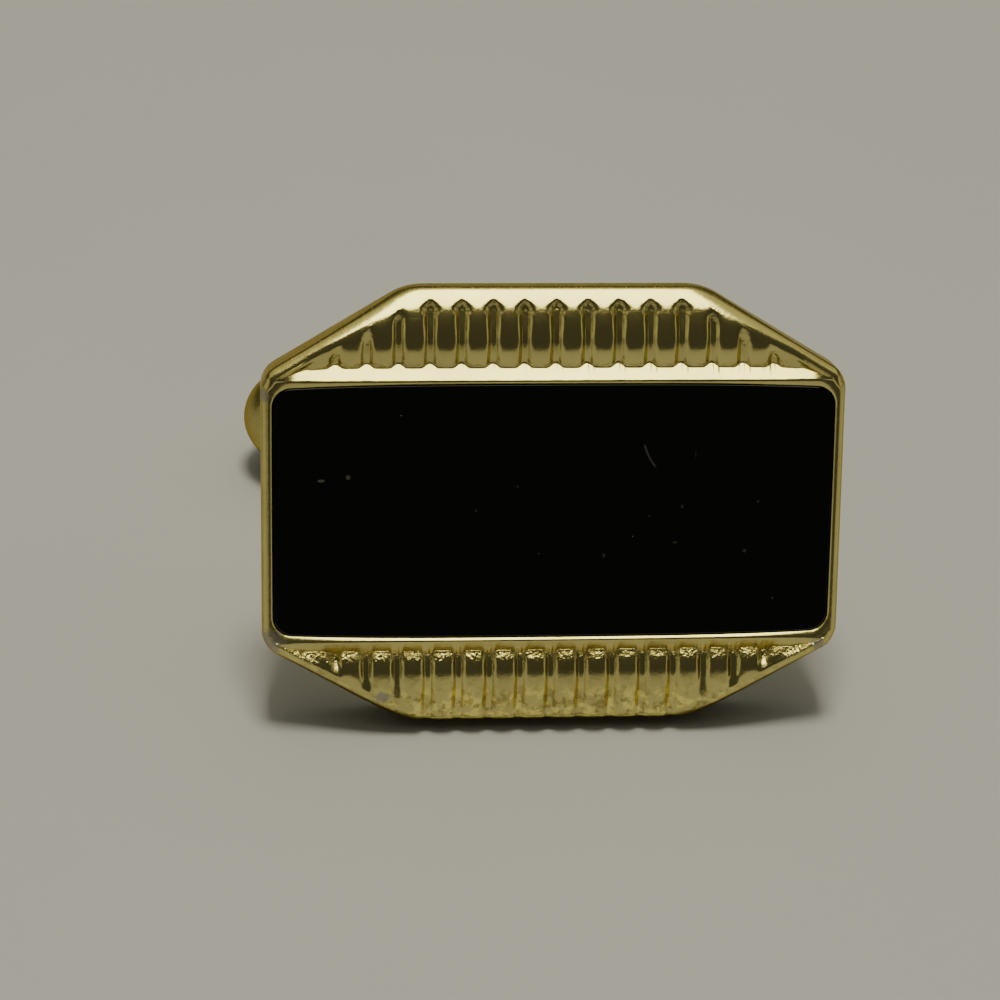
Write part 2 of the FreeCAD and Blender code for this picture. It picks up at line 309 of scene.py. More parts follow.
# Places along the face where the pointed groove ends of the top edge, and the open ones of the low edge,
# stop
CROWN_SPAN = (4.4, 4.9)
OPEN_SPAN = (4.5, 4.95)
LOW_CLOSED_SPAN = (5.4, 5.9)
# Pointed groove ends: how much they splay, how sharply they point, and how much sooner they close
CROWN_SPLAY = 1.1
CROWN_POINT = 0.8
CROWN_SOONER = 0.15
# Length over which other groove ends close, how much longer on the low half, and how much a groove rises
# with the roll
END_REACH = 0.55
LOW_LONGER = 0.6
ROLL_LIFT = 0.38
CROWN_LIFT = 0.15
LOW_LIFT = 0.07
# Room between ridge and rim that a full groove needs, and the least that holds a panel
FULL_ROOM = 1.1
LEAST_ROOM = 0.02
# How much more the slanting edges are rounded, the panel's distance from the rounding, the mouth between
# stone and crest, the rear edge's round, the half length of the line that closes the surface, and the
# panel's rows
SLANT_ROUND = 0.1
RIM_STEP = 0.02
MOUTH = 0.07
REAR_ROUND = 0.08
MIDDLE_HALF = 5
PANEL_ROWS = 40
# Spots worn through the gilt, as (place along, place up, reach)
WORN_SPOTS = [(-9.15, -4.25, 0.5), (-5.6, -6.3, 0.3), (-9.4, 3.9, 0.25), (8.9, -4.6, 0.3)]


def from_groove(x):
    """Distance across the ribs to the nearest groove's middle."""
    return np.abs((x / GROOVE_PITCH + 0.5) % 1 - 0.5) * GROOVE_PITCH


def rolled(x, z, low):
    """Drop of the outer roll: one curve by the distance from the top edge, plus a narrower one by the
    distance from the slanting edge, which dies away towards the sides, sooner on the upper half."""
    slant = np.array([FACE_HALF_HEIGHT - SIDE_HALF, FACE_HALF_WIDTH - TOP_HALF])
    slant /= np.linalg.norm(slant)
    to_top = FACE_HALF_HEIGHT - z
    to_slant = (TOP_HALF - np.abs(x)) * slant[0] + to_top * slant[1]
    fade = np.where(low, smooth(*SLANT_LOW, z), smooth(*SLANT_HIGH, z))
    return curve_through(ROLL, to_top) + curve_through(SLANT, to_slant) * fade


def plain_drop(x, z, low):
    """Drop of the plain rim behind the ridge's crest: a slight fall over the valley, the roll, and a slope
    outwards along the two short sides."""
    into_side = np.clip(np.abs(x) - FACE_HALF_WIDTH + SIDE_BAND, 0, None)
    return curve_through(LAND, z) + rolled(x, z, low) + SIDE_SLOPE * into_side


def panel_drop(x, z, from_rim, room, low):
    """Drop of the fluted panel: the deeper of the rib's line, swelling towards its middle, and a groove
    of one section that follows its own floor, rounded where they meet. On the low edge the grooves run
    out over the edge. Elsewhere they rise to the rim over the last stretch, and on the straight top edge
    they splay there and end in a point. They get shallower where there is little room between ridge and
    rim."""
    roll = rolled(x, z, low)
    away = from_groove(x)
    along_face = np.abs(x)
    crown = ~low * (1 - smooth(*CROWN_SPAN, along_face))
    open_end = low * (1 - smooth(*OPEN_SPAN, along_face))

    crest = curve_through(RIB, z) + roll
    rib = crest + RIB_FALL * (1 - 2 * away / GROOVE_PITCH) ** RIB_POWER
    high_lift = (ROLL_LIFT - (ROLL_LIFT - CROWN_LIFT) * crown) * roll
    lift = np.where(low, LOW_LIFT * smooth(0.1, 0.45, roll), high_lift)
    splay = 1 + CROWN_SPLAY * crown * (1 - smooth(0.12, 0.65, from_rim))
    flank = np.clip(away / splay - GROOVE_FLOOR_HALF, 0, None) / GROOVE_FLANK
    groove = curve_through(FLOOR, z) + roll - lift - GROOVE_RISE * flank**GROOVE_POWER
    cut = (rib + groove + np.sqrt((rib - groove) ** 2 + MEET_ROUND**2)) / 2

    longer = LOW_LONGER * low * (1 - smooth(*LOW_CLOSED_SPAN, along_face))
    reach = END_REACH - CROWN_SOONER * crown + longer
    kept = smooth(0, reach, from_rim - CROWN_POINT * crown * away)
    kept = kept * np.where(low, np.clip(1 - roll / 0.42, 0, 1) ** 1.15, 1)
    cut = crest + (cut - crest) * (open_end + (1 - open_end) * kept)

    plain = plain_drop(x, z, low)
    open_fade = 0.6 + 0.4 * smooth(0, 0.35, from_rim)
    fade = open_end * open_fade + (1 - open_end) * smooth(0, 0.2, from_rim)
    return plain + (cut - plain) * fade * np.minimum(1, room / FULL_ROOM)


def face_surface():
    """Rows of points (rows, columns, 3) over the whole casting, and four marks for each point: how hollow,
    which above 1 also places painted shade on the sides, how proud, how rough from casting, and how scuffed
    it is, which also places a painted highlight on the low edge."""
    edge, normal = eight_sides(0)
    low = edge[:, 1] < 0
    side = np.where(low, -1.0, 1.0)
    fold = np.stack([np.ones_like(side), side], -1)
    edge_up = edge * fold
    out_up = normal * fold
    on_slant = smooth(0.1, 0.4, np.abs(out_up[:, 0] * out_up[:, 1]))
    round_over = EDGE_ROUND + SLANT_ROUND * on_slant
    rim = edge_up - (round_over + RIM_STEP)[:, None] * out_up
    x, top = rim.T

    near_groove = 1 - smooth(0.0, 0.3, from_groove(x))
    room = np.clip(top - CREST_Z, 0, None)
    panelled = room > LEAST_ROOM
    bevel_width = 0.38 + 0.15 * near_groove
    foot = CREST_Z + (bevel_width**-4 + np.maximum(0.6 * room, 1e-3) ** -4) ** -0.25
    seat, out = onto_stone(x, np.minimum(top, CREST_Z + 0.34), SEAT_GAP)
    spare = (CREST_Z - 2 * MOUTH - seat[:, 1]).clip(0)
    crest_in = seat + out * (MOUTH + spare * out[:, 1].clip(0) ** 8)[:, None]
    crest_out = np.stack([x, np.minimum(CREST_Z, top)], -1)

    rows, marks = [], []

    def row(flat, drop, hollow=0.0, proud=0.0, cast=0.0, scuff=0.0):
        """One row: flat (n, 2) places on the folded face, their drop behind the ridge's crest, and their
        marks."""
        drop = np.broadcast_to(drop, side.shape)
        rows.append(np.stack([flat[:, 0], drop - FRAME_DEPTH, flat[:, 1] * side], -1))
        marks.append([np.broadcast_to(value, side.shape) for value in (hollow, proud, cast, scuff)])

    # Pocket, lip and the ridge's crest
    middle = np.stack([np.clip(x, -MIDDLE_HALF, MIDDLE_HALF), np.zeros_like(x)], -1)
    row(middle, POCKET_DEPTH)
    row(seat, POCKET_DEPTH, hollow=1)
    row(seat, LIP_DROP + 0.03, hollow=1)
    for t in (0, 0.12, 0.4, 0.7, 0.9, 1):
        lip = LIP_DROP * (1 - t) + 0.012 * (1 - t) ** 4 + 0.006 * t**6
        row(seat + (crest_in - seat) * t, lip, proud=t**3)
    for t in (0.35, 0.75, 1):
        row(crest_in + (crest_out - crest_in) * t, 0.004 * t, proud=1)

    # The ridge's bevel down to the panel's foot, then the panel up to the rim
    to_rim = np.clip(top - foot, 0, None) * out_up[:, 1]
    foot_drop = np.where(panelled, panel_drop(x, foot, to_rim, room, low), 0)
    for t in (0.05, 0.13, 0.3, 0.55, 0.8, 0.93):
        flat = np.stack([x, crest_out[:, 1] + (foot - CREST_Z).clip(0) * t], -1)
        share = t - 0.02 * (1 - t) ** 6 + 0.012 * smooth(0.7, 1, t)
        row(flat, foot_drop * share, hollow=0.6 * t**6, proud=(1 - t) ** 6)
    groove_end = ~low * (1 - smooth(0.1, 0.28, from_groove(x)))
    for t in (np.arange(PANEL_ROWS + 1) / PANEL_ROWS) ** 0.94:
        z = np.where(panelled, foot + (top - foot) * t, top)
        to_rim = (top - z).clip(0) * out_up[:, 1].clip(0)
        plain = plain_drop(x, z, low)
        drop = np.where(panelled, panel_drop(x, z, to_rim, room, low), plain)
        deep = np.clip((drop - plain) / 0.3, 0, 1)
        cast = np.where(low, 1, 0.4) * (1 - smooth(4.85, 5.25, z))
        cast = cast + 0.2 * low * smooth(5.9, 6.8, z)
        cast = cast + 0.3 * groove_end * (1 - smooth(0.45, 0.75, to_rim)) * smooth(0.02, 0.12, to_rim)
        # The low panel's outer end gets brown mottles and brighter ones; the bright ones are partly a
        # painted highlight
        scuff = 0.5 * low * smooth(5.5, 6.6, z)
        row(np.stack([x, z], -1), drop, hollow=deep, cast=cast, scuff=scuff)

    # Round over the edge, the upright side, the drafted waist and its rear edge
    run_out = np.where(panelled, panel_drop(x, top, 0, room, low) - plain_drop(x, top, low), 0)
    # The low edge's round-over is marked for rubbed gilt that also serves as a painted highlight
    rubbed_and_highlit = low * smooth(0.8, 0.98, out_up[:, 1])
    # From the middle of the round-over back to the rear edge the hollow mark rises to 2, which places
    # painted shade on the sides
    for turn in np.radians(np.linspace(0, 90, 9)):
        over = math.sin(turn)
        flat = edge_up - out_up * (round_over * (1 - over))[:, None]
        drop = plain_drop(*flat.T, low) + round_over * (1 - math.cos(turn)) + run_out
        scuff = rubbed_and_highlit * (1 - smooth(0.4, 0.8, over))
        row(flat, drop, hollow=2 * smooth(0.3, 0.8, over), proud=0.6 * math.sin(2 * turn), scuff=scuff)
    start = plain_drop(*edge_up.T, low) + round_over + run_out
    waist = FRAME_DEPTH - WAIST_DEPTH
    for t in (0.06, 0.5, 0.94):
        row(edge_up, start + (waist - start) * t, hollow=2)
    for t in (0.06, 0.5, 0.9):
        row(eight_sides(WAIST_INSET * t)[0] * fold, waist + WAIST_DEPTH * t, hollow=2)
    for turn in np.radians((0, 30, 60, 90)):
        flat = eight_sides(WAIST_INSET + REAR_ROUND * (1 - math.cos(turn)))[0] * fold
        drop = FRAME_DEPTH - REAR_ROUND * (1 - math.sin(turn))
        row(flat, drop, hollow=2 * math.cos(turn), proud=math.sin(2 * turn))

    # Rear ring and the well for the plate
    well = WAIST_INSET + RING_WIDTH
    for inset, depth in ((0.4, 0), (well - 0.06, 0), (well - 0.02, 0.01), (well, 0.05), (well, 0.6)):
        flat = eight_sides(inset, PLATE_CORNER)[0] * fold
        row(flat, FRAME_DEPTH - depth, hollow=0.5 if depth else 0)
    row(middle, FRAME_DEPTH - PLATE_THICKNESS - PLATE_SINK)
    names = ("hollow", "proud", "cast", "scuff")
    return np.array(rows), dict(zip(names, np.moveaxis(np.array(marks), 1, 0)))


def make_face(finish):
    """The casting, with its marks and one more, for spots worn through to the base metal: each is a bell
    curve of the distance from its middle."""
    points, marks = face_surface()
    x, y, z = np.moveaxis(points, -1, 0)
    bare = np.zeros_like(x)
    for spot_x, spot_z, reach in WORN_SPOTS:
        bare = np.maximum(bare, np.exp(-((x - spot_x) ** 2 + (z - spot_z) ** 2) / reach**2))
    marks["bare"] = bare * (y < -1)
    quads = grid_quads(*points.shape[:2])
    return make_piece("face_casting", points, quads, finish, "face", ["front_frame"], marks)


def make_stone(finish):
    """Tablet as rows round its outline: flat back, upright edge, then a top that rises steeply at the
    edge, and more gently with the square of the height up the face, and closes on a line along the
    middle."""
    turn = np.array([(-1, -1), (1, -1), (1, 1), (-1, 1)]) * (STONE_HALF, STONE_END_HALF)
    flat, _ = rounded(turn, np.full(4, STONE_CORNER), 0, (150, 60, 150, 60), (30, 30, 30, 30))
    side = np.where(flat[:, 1] < 0, -1.0, 1.0)
    edge, _ = onto_stone(flat[:, 0], np.abs(flat[:, 1]), 0)
    edge = edge * np.stack([np.ones_like(side), side], -1)
    middle = np.stack([np.clip(edge[:, 0], -MIDDLE_HALF, MIDDLE_HALF), np.zeros_like(side)], -1)
    back = POCKET_DEPTH - CEMENT_THICKNESS
    rows = [(1, back), (0, back), (0, LIP_DROP + 0.3), (0, LIP_DROP + 0.05), (0.002, LIP_DROP + 0.015)]
    swell = np.linspace(0, 1, 40)[1:] ** 2.2
    rows += [(t, None) for t in swell]
    points = []
    for t, drop in rows:
        spot = edge + (middle - edge) * t
        if drop is None:
            inward = np.linalg.norm(spot - edge, axis=1)
            rise = 1 - (1 - np.clip(inward / 0.05, 0, 1)) ** 2.6
            drop = LIP_DROP - 0.012 * rise - 0.02 * (1 - (spot[:, 1] / STONE_END_HALF) ** 2)
        drop = np.broadcast_to(drop, side.shape)
        points.append(np.stack([spot[:, 0], drop - FRAME_DEPTH, spot[:, 1]], -1))
    points = np.array(points)
    quads = grid_quads(*points.shape[:2])
    return make_piece("stone_tablet", points, quads, finish, "face", ["stone"])


def make_plate(finish):
    """Back plate as rows round the face's outline, moved in, with every third of its points: flat front,
    rounded rear edge, flat back. It closes on a line along the middle."""
    outer = WAIST_INSET + RING_WIDTH + PLATE_GAP
    front, back = -PLATE_THICKNESS - PLATE_SINK, -PLATE_SINK
    profile = [(0, front), (0, back - 0.1), (0.015, back - 0.04)]
    profile += [(0.05, back - 0.01), (0.1, back), (0.4, back)]
    loops = [eight_sides(outer + inset, PLATE_CORNER)[0][::3] for inset, _ in profile]
    along_middle = np.clip(loops[0][:, 0], -PLATE_MIDDLE_HALF, PLATE_MIDDLE_HALF)
    middle = np.stack([along_middle, np.zeros_like(along_middle)], -1)
    loops = [middle] + loops + [middle]
    depths = [front] + [y for _, y in profile] + [back]
    points = np.stack([np.insert(loop, 1, y, axis=1) for loop, y in zip(loops, depths)])
    quads = grid_quads(*points.shape[:2])
    return make_piece("back_plate_sheet", points, quads, finish, "face", ["back_plate"])


def turned(profile, steps, half_a=1.0, half_b=1.0):
    """Profile (size, height) carried round an oval: size times the two half widths, and the height as it
    is."""
    size, height = np.array(profile, float).T
    angle = np.linspace(0, 2 * math.pi, steps, endpoint=False)
    a = half_a * size[:, None] * np.cos(angle)
    b = half_b * size[:, None] * np.sin(angle)
    return a, b, np.broadcast_to(height[:, None], a.shape)


def make_pad(finish):
    """Oval pad: a solder fillet at its foot, sloping sides and a rounded upper edge."""
    low, high = -PLATE_SINK, PAD_BACK
    profile = [(0, low), (0.995, low), (1.0, low + 0.02), (0.985, low + 0.05), (0.972, low + 0.11)]
    profile += [(0.9, high - 0.09), (0.893, high - 0.05), (0.882, high - 0.02), (0.865, high - 0.003)]
    profile += [(0.84, high), (0, high)]
    a, b, y = turned(profile, 128, PAD_HALF_WIDTH, PAD_HALF_HEIGHT)
    points = np.stack([a, y, b], -1)
    quads = grid_quads(*a.shape)
    return make_piece("post_pad_oval", points, quads, finish, "face", ["post_pad"])


def make_post(finish):
    """Flat blade: a rounded oblong section carried along the post, its half width set by the foot's flare,
    the straight neck and the round head; a bore takes the pin."""
    rise, neck = PAD_BACK + POST_RISE, PAD_BACK + POST_RISE + POST_FLARE
    flat = math.sqrt(CAM_RADIUS**2 - POST_HALF**2)
    top = PIVOT_Y + POST_HALF
    y = np.concatenate([
        [PAD_BACK, PAD_BACK],
        np.linspace(PAD_BACK + 0.02, rise, 4),
        neck - POST_FLARE * np.cos(np.linspace(0.05, 1, 16) * math.pi / 2),
        np.linspace(neck, PIVOT_Y + flat, 24)[1:],
        PIVOT_Y + CAM_RADIUS * np.sin(np.linspace(*HEAD_ARC, 24)),
        [top, top],
    ])
    flare = POST_HALF + POST_FLARE - np.sqrt(np.clip(POST_FLARE**2 - (neck - y) ** 2, 0, None))
    flare = np.where(y < rise, POST_HALF + POST_FLARE, np.where(y < neck, flare, POST_HALF))
    head = np.sqrt(np.clip(CAM_RADIUS**2 - (y - PIVOT_Y) ** 2, flat**2, None))
    half = np.where(y > PIVOT_Y, np.minimum(head, POST_HALF), flare)
    close = np.ones_like(y)
    close[0] = close[-1] = 0
    ease = POST_EASE * smooth(0, 0.12, top - y)
    angle = np.linspace(0, 2 * math.pi, 96, endpoint=False)
    c, s = np.cos(angle), np.sin(angle)
    x = np.sign(c) * (half - POST_CORNER)[:, None].clip(0) + POST_CORNER * c
    z = np.sign(s) * (POST_HALF_THICK - POST_EASE - POST_CORNER + ease)[:, None] + POST_CORNER * s
    points = np.stack([x * close[:, None], np.broadcast_to(y[:, None], x.shape), z * close[:, None]], -1)
    quads = grid_quads(*x.shape)
    post = make_piece("post_blade", points, quads, finish, "face", ["post"], sharp=40)
    bore_radius = PIN_RADIUS + PIN_GAP
    a, b, h = turned([(0, -2), (1, -2), (1, 2), (0, 2)], 72, bore_radius, bore_radius)
    cut_away(post, make_piece("bore", np.stack([a, b + PIVOT_Y, h], -1), grid_quads(*a.shape)))
    soften(post, POST_SOFTEN)
    return post


def make_tube(finish):
    """Slotted tube: a lattice of rings along the bar, each with a bore and an outer round; the cells of
    the slot are left out and the lattice's open sides are closed. Slot sides lie at one height on both
    rounds."""
    slot_out = math.asin(SLOT_HALF / BAR_RADIUS)
    slot_in = math.asin(SLOT_HALF / BORE_RADIUS)
    whole_rings, slot_rings = 12, 18
    before = np.linspace(-TUBE_HALF, -SLOT_END, whole_rings)
    x = np.concatenate([before, np.linspace(-SLOT_END, TUBE_HALF, slot_rings)[1:]])
    in_slot, in_wall = 12, 84
    share_slot = np.linspace(-1, 1, in_slot + 1)
    share_wall = np.linspace(0, 1, in_wall + 1)[1:-1]
    rounds = []
    for radius, half in ((BORE_RADIUS, slot_in), (BAR_RADIUS, slot_out)):
        angle = np.concatenate([share_slot * half, half + share_wall * 2 * (math.pi - half)])
        rounds.append(np.stack([-radius * np.cos(angle) + PIVOT_Y, radius * np.sin(angle)], -1))
    section = np.array(rounds)
    columns = section.shape[1]
    points = np.zeros((len(x), 2, columns, 3))
    points[..., 0] = x[:, None, None]
    points[..., 1:] = section[None]
    filled = np.ones((len(x) - 1, columns), bool)
    filled[whole_rings - 1 :, :in_slot] = False
    number = np.arange(points[..., 0].size).reshape(points.shape[:3])
    right = np.roll(number, -1, axis=2)
    walls = []
    for layer in (0, 1):
        sheet = [number[:-1, layer], right[:-1, layer], right[1:, layer], number[1:, layer]]
        walls.append(np.stack(sheet, -1)[filled])
    ends = np.pad(filled, ((1, 1), (0, 0)))
    across = np.stack([number[:, 0], right[:, 0], right[:, 1], number[:, 1]], -1)
    walls.append(across[ends[1:] != ends[:-1]])
    sides = np.stack([number[:-1, 0], number[1:, 0], number[1:, 1], number[:-1, 1]], -1)
    walls.append(sides[filled != np.roll(filled, 1, axis=1)])
    quads = np.vstack(walls)
    tube = make_piece("bar_tube_slotted", points, quads, finish, "bar", ["bar_tube"], sharp=30)
    soften(tube, BAR_SOFTEN)
    return tube


def end_points(depth, side):
    """Domed end turned about the bar: a spigot in the bore, a fine step at the joint and half an
    ellipse."""
    spigot = BORE_RADIUS - SPIGOT_GAP
    turn = np.linspace(0, 1, 44) * math.pi / 2
    profile = [(0, -SPIGOT_LENGTH), (spigot - SPIGOT_CHAMFER, -SPIGOT_LENGTH)]
    profile += [(spigot, SPIGOT_CHAMFER - SPIGOT_LENGTH), (spigot, 0)]
    profile += [(BAR_RADIUS - 0.05, 0), (BAR_RADIUS - 0.012, 0.015)]
    profile += list(zip(BAR_RADIUS * np.cos(turn[1:]), depth * np.sin(turn[1:])))
    a, b, h = turned(profile, 112)
    return np.stack([side * (TUBE_HALF + h), a + PIVOT_Y, b], -1)


def make_nose(finish):
    """Plain domed end of the bar."""
    points = end_points(END_DEPTH, -1)
    quads = grid_quads(*points.shape[:2])
    return make_piece("bar_nose_dome", points, quads, finish, "bar", ["bar_nose"], sharp=40)


def block_points(low, high):
    """Plain oblong as rows round its section, closed at both ends."""
    square = np.array([(low[1], low[2]), (high[1], low[2]), (high[1], high[2]), (low[1], high[2])])
    middle = np.repeat(square.mean(0, keepdims=True), 4, 0)
    loops = np.stack([middle, square, square, middle])
    x = np.array([low[0], low[0], high[0], high[0]])[:, None]
    return np.concatenate([np.broadcast_to(x, (4, 4))[..., None], loops], -1)


def make_heel(finish):
    """Domed end with the slot cut through it from the front, so that the post passes at the end of its
    turn."""
    points = end_points(HEEL_DEPTH, 1)
    quads = grid_quads(*points.shape[:2])
    heel = make_piece("bar_heel_fork", points, quads, finish, "bar", ["bar_heel"], sharp=40)
    front, beyond = PIVOT_Y - 2 * BAR_RADIUS, TUBE_HALF + 2 * END_DEPTH
    slot = block_points((0, front, -SLOT_HALF), (beyond, PIVOT_Y + SLOT_END, SLOT_HALF))
    cut_away(heel, make_piece("fork", slot, grid_quads(4, 4)))
    soften(heel, BAR_SOFTEN)
    return heel


def make_spring(finish):
    """Leaf spring: a flat section with round edges, carried along a shallow bow that rises with the
    square of the distance from its middle."""
    x = np.linspace(-SPRING_HALF, SPRING_HALF, 49)
    lift = SPRING_TOP + SPRING_THICKNESS / 2 + SPRING_BOW * (x / SPRING_HALF) ** 2
    round_steps = 24
    angle = np.linspace(0, 2 * math.pi, round_steps, endpoint=False)
    round_over = SPRING_THICKNESS / 2
    z = np.sign(np.cos(angle)) * (SPRING_HALF_WIDTH - round_over) + round_over * np.cos(angle)
    y = round_over * np.sin(angle)
    x = np.concatenate([x[:1], x, x[-1:]])
    lift = np.concatenate([lift[:1], lift, lift[-1:]])
    close = np.ones(len(x))
    close[0] = close[-1] = 0
    points = np.zeros((len(x), round_steps, 3))
    points[..., 0] = x[:, None]
    points[..., 1] = PIVOT_Y + lift[:, None] + y * close[:, None]
    points[..., 2] = z * close[:, None]
    quads = grid_quads(len(x), round_steps)
    nodes = ["leaf_spring"]
    return make_piece("leaf_spring_strip", points, quads, finish, "bar", nodes, sharp=40)


def make_pin(finish):
    """Pin across the bar: its ends follow the bar's round, a little proud of it, with an eased edge."""
    profile = [(0, 0.034), (0.4, 0.032), (0.66, 0.026), (0.84, 0.014)]
    profile += [(0.93, 0.002), (0.98, -0.02), (1, -0.06)]
    size, ease = np.array(profile).T
    angle = np.linspace(0, 2 * math.pi, 64, endpoint=False)
    x = PIN_RADIUS * size[:, None] * np.cos(angle)
    y = PIN_RADIUS * size[:, None] * np.sin(angle)
    z = np.sqrt(BAR_RADIUS**2 - y**2) + 0.004 + ease[:, None]
    upper = np.stack([x, y + PIVOT_Y, z], -1)
    points = np.concatenate([upper, (upper * (1, 1, -1))[::-1]])
    quads = grid_quads(*points.shape[:2])
    return make_piece("pivot_pin_flush", points, quads, finish, "bar", ["pivot_pin"], sharp=50)


class Value:
    """An output of a material's node tree. Arithmetic on it adds Math nodes."""

    def __init__(self, tree, socket):
        self.tree = tree
        self.socket = socket

    def node(self, kind, settings, sockets, output=0):
        """Adds a node of this kind: its settings first, then the value or link of each named input."""
        made = self.tree.nodes.new(kind)
        for key, value in settings.items():
            if key == "stops":
                stops = made.color_ramp.elements
                while len(stops) < len(value):
                    stops.new(0.5)
                for stop, (at, colour) in zip(stops, value):
                    stop.position = at
                    stop.color = colour
            else:
                setattr(made, key, value)
        for key, value in sockets.items():
            if isinstance(value, Value):
                self.tree.links.new(value.socket, made.inputs[key])
            else:
                made.inputs[key].default_value = value
        return Value(self.tree, made.outputs[output])

    def math(self, operation, *terms):
        """This operation on the given values or numbers."""
        return self.node("ShaderNodeMath", {"operation": operation}, dict(enumerate(terms)))

    def __add__(self, other):
        return self.math("ADD", self, other)

    def __sub__(self, other):
        return self.math("SUBTRACT", self, other)

    def __rsub__(self, other):
        return self.math("SUBTRACT", other, self)

    def __mul__(self, other):
        return self.math("MULTIPLY", self, other)

    def __pow__(self, other):
        return self.math("POWER", self, other)

    __radd__ = __add__
    __rmul__ = __mul__

    def size(self):
        """The value without its sign."""
        return self.math("ABSOLUTE", self)

    def between(self, low, high):
        """0 at low, 1 at high, with soft ends."""
        sockets = {"Value": self, "From Min": low, "From Max": high}
        return self.node("ShaderNodeMapRange", {"interpolation_type": "SMOOTHSTEP"}, sockets)

    def stretched(self, x, y, z):
        """This vector with each axis multiplied by its own number."""
        return self.node("ShaderNodeVectorMath", {"operation": "MULTIPLY"}, {0: self, 1: (x, y, z)})

    def noise(self, scale, detail=2.0, rough=0.5):
        """Cloudy value, 0 to 1, at this vector."""
        sockets = {"Vector": self, "Scale": scale, "Detail": detail, "Roughness": rough}
        return self.node("ShaderNodeTexNoise", {}, sockets)

    def blend(self, first, second):
        """Colour mixed from first to second by this value."""
        settings = {"data_type": "RGBA", "clamp_factor": True}
        return self.node("ShaderNodeMix", settings, {0: self, 6: first, 7: second}, 2)


def start(name):
    """New material: its main shader and the object's coordinates in millimetres."""
    material = bpy.data.materials.new(name)
    material.use_nodes = True
    tree = material.node_tree
    shader = tree.nodes["Principled BSDF"]
    where = Value(tree, tree.nodes.new("ShaderNodeTexCoord").outputs["Object"])
    return material, shader, where.stretched(1000, 1000, 1000)


def mark(where, name):
    """A number stored on the mesh's points."""
    return where.node("ShaderNodeAttribute", {"attribute_name": name}, {}, 2)


def feed(shader, **links):
    """Links values to the shader's inputs of these names, with _ for each space."""
    for name, value in links.items():
        shader.id_data.links.new(value.socket, shader.inputs[name.replace("_", " ")])


def roughen(where, height, depth):
    """Bump of the given depth in millimetres."""
    sockets = {"Strength": 1.0, "Distance": depth / 1000, "Height": height}
    return where.node("ShaderNodeBump", {}, sockets)


GOLD = (0.68, 0.60, 0.235, 1)
GOLD_DULL = (0.60, 0.52, 0.205, 1)
# Darker gold for the bar is painted shade, for its place behind the face
GOLD_BAR_SHADE = (0.47, 0.405, 0.155, 1)
GOLD_PALE = (0.76, 0.68, 0.30, 1)
# Brighter gold for the low edge: partly rubbed gilt, partly a painted highlight
GOLD_BRIGHT = (0.98, 0.86, 0.27, 1)
# Brown for film and dirt, and for painted shade on the sides
GOLD_BROWN = (0.24, 0.175, 0.05, 1)
GOLD_GLANCE = (0.72, 0.60, 0.30, 1)
BASE_METAL = (0.36, 0.335, 0.285, 1)


def hairlines(where, across, along_it):
    """Fine straight scratches in two crossing directions, 0 to 1, mostly 0."""
    one = where.stretched(across, along_it, across).noise(1.0, 3.0)
    two = where.stretched(along_it, across * 1.3, across).noise(1.0, 3.0)
    return one.between(0.6, 0.75) + two.between(0.62, 0.78)


def face_gold():
    """Worn gilt: cloudy tone and fine scratches; brown on the sides, which is painted shade; brown film on
    rough spots and on the scuffed low edge; brighter metal on that edge, partly rubbed gilt and partly a
    painted highlight; paler proud edges, and bare metal at the worn spots."""
    material, shader, mm = start("gilt_face")
    cloud = mm.noise(0.45, 3.0)
    grain = mm.noise(14.0, 2.0)
    hollow = mark(mm, "hollow")
    cast = mark(mm, "cast")
    # Brown on the sides and round-overs is painted shade: it darkens the line along the top edge and the
    # gap under the low edge
    film_and_side_shade = 0.4 * hollow.between(1.0, 1.9) * mm.noise(1.6, 3.0).between(0.1, 0.65)
    film_and_side_shade = film_and_side_shade + 0.6 * cast.between(0.5, 1.0) * mm.noise(3.0, 3.0).between(0.38, 0.6)
    scuff = mark(mm, "scuff")
    film_and_side_shade = film_and_side_shade + 1.1 * scuff * (1 - scuff.between(0.55, 0.8)) * mm.noise(3.6, 4.0, 0.6).between(0.5, 0.62)
    # Brighter gold on the low edge and in patches above it: partly rubbed gilt, partly a painted highlight
    # standing in for the lit floor reflected there
    rubbed_and_highlit = scuff.between(0.5, 0.9) + scuff.between(0.05, 0.5) * mm.noise(2.6, 4.0, 0.6).between(0.46, 0.6)
    worn = mark(mm, "proud").between(0.5, 1.0) * mm.noise(2.4, 4.0).between(0.45, 0.75)
    bare = (mark(mm, "bare") + 1.3 * mm.noise(4.0, 5.0, 0.6) - 0.65).between(0.4, 0.8)
    colour = cloud.between(0.3, 0.7).blend(GOLD, GOLD_DULL)
    colour = (worn * 0.7).blend(colour, GOLD_PALE)
    colour = rubbed_and_highlit.blend(colour, GOLD_BRIGHT)
    colour = film_and_side_shade.blend(colour, GOLD_BROWN)
    colour = (0.85 * bare).blend(colour, BASE_METAL)
    lines = hairlines(mm, 22.0, 0.7)
    skin = 0.5 * mm.noise(5.0, 2.0) + 0.18 * grain + 0.1 * lines
    feed(
        shader,
        Base_Color=colour,
        Roughness=0.11 + 0.1 * cloud + 0.2 * film_and_side_shade + 0.05 * lines + 0.06 * grain + 0.15 * bare,
        Normal=roughen(mm, skin + cast * 6.0 * mm.noise(9.0, 2.0), 0.009),
    )
    shader.inputs["Metallic"].default_value = 1.0
    shader.inputs["Specular Tint"].default_value = GOLD_GLANCE
    return material


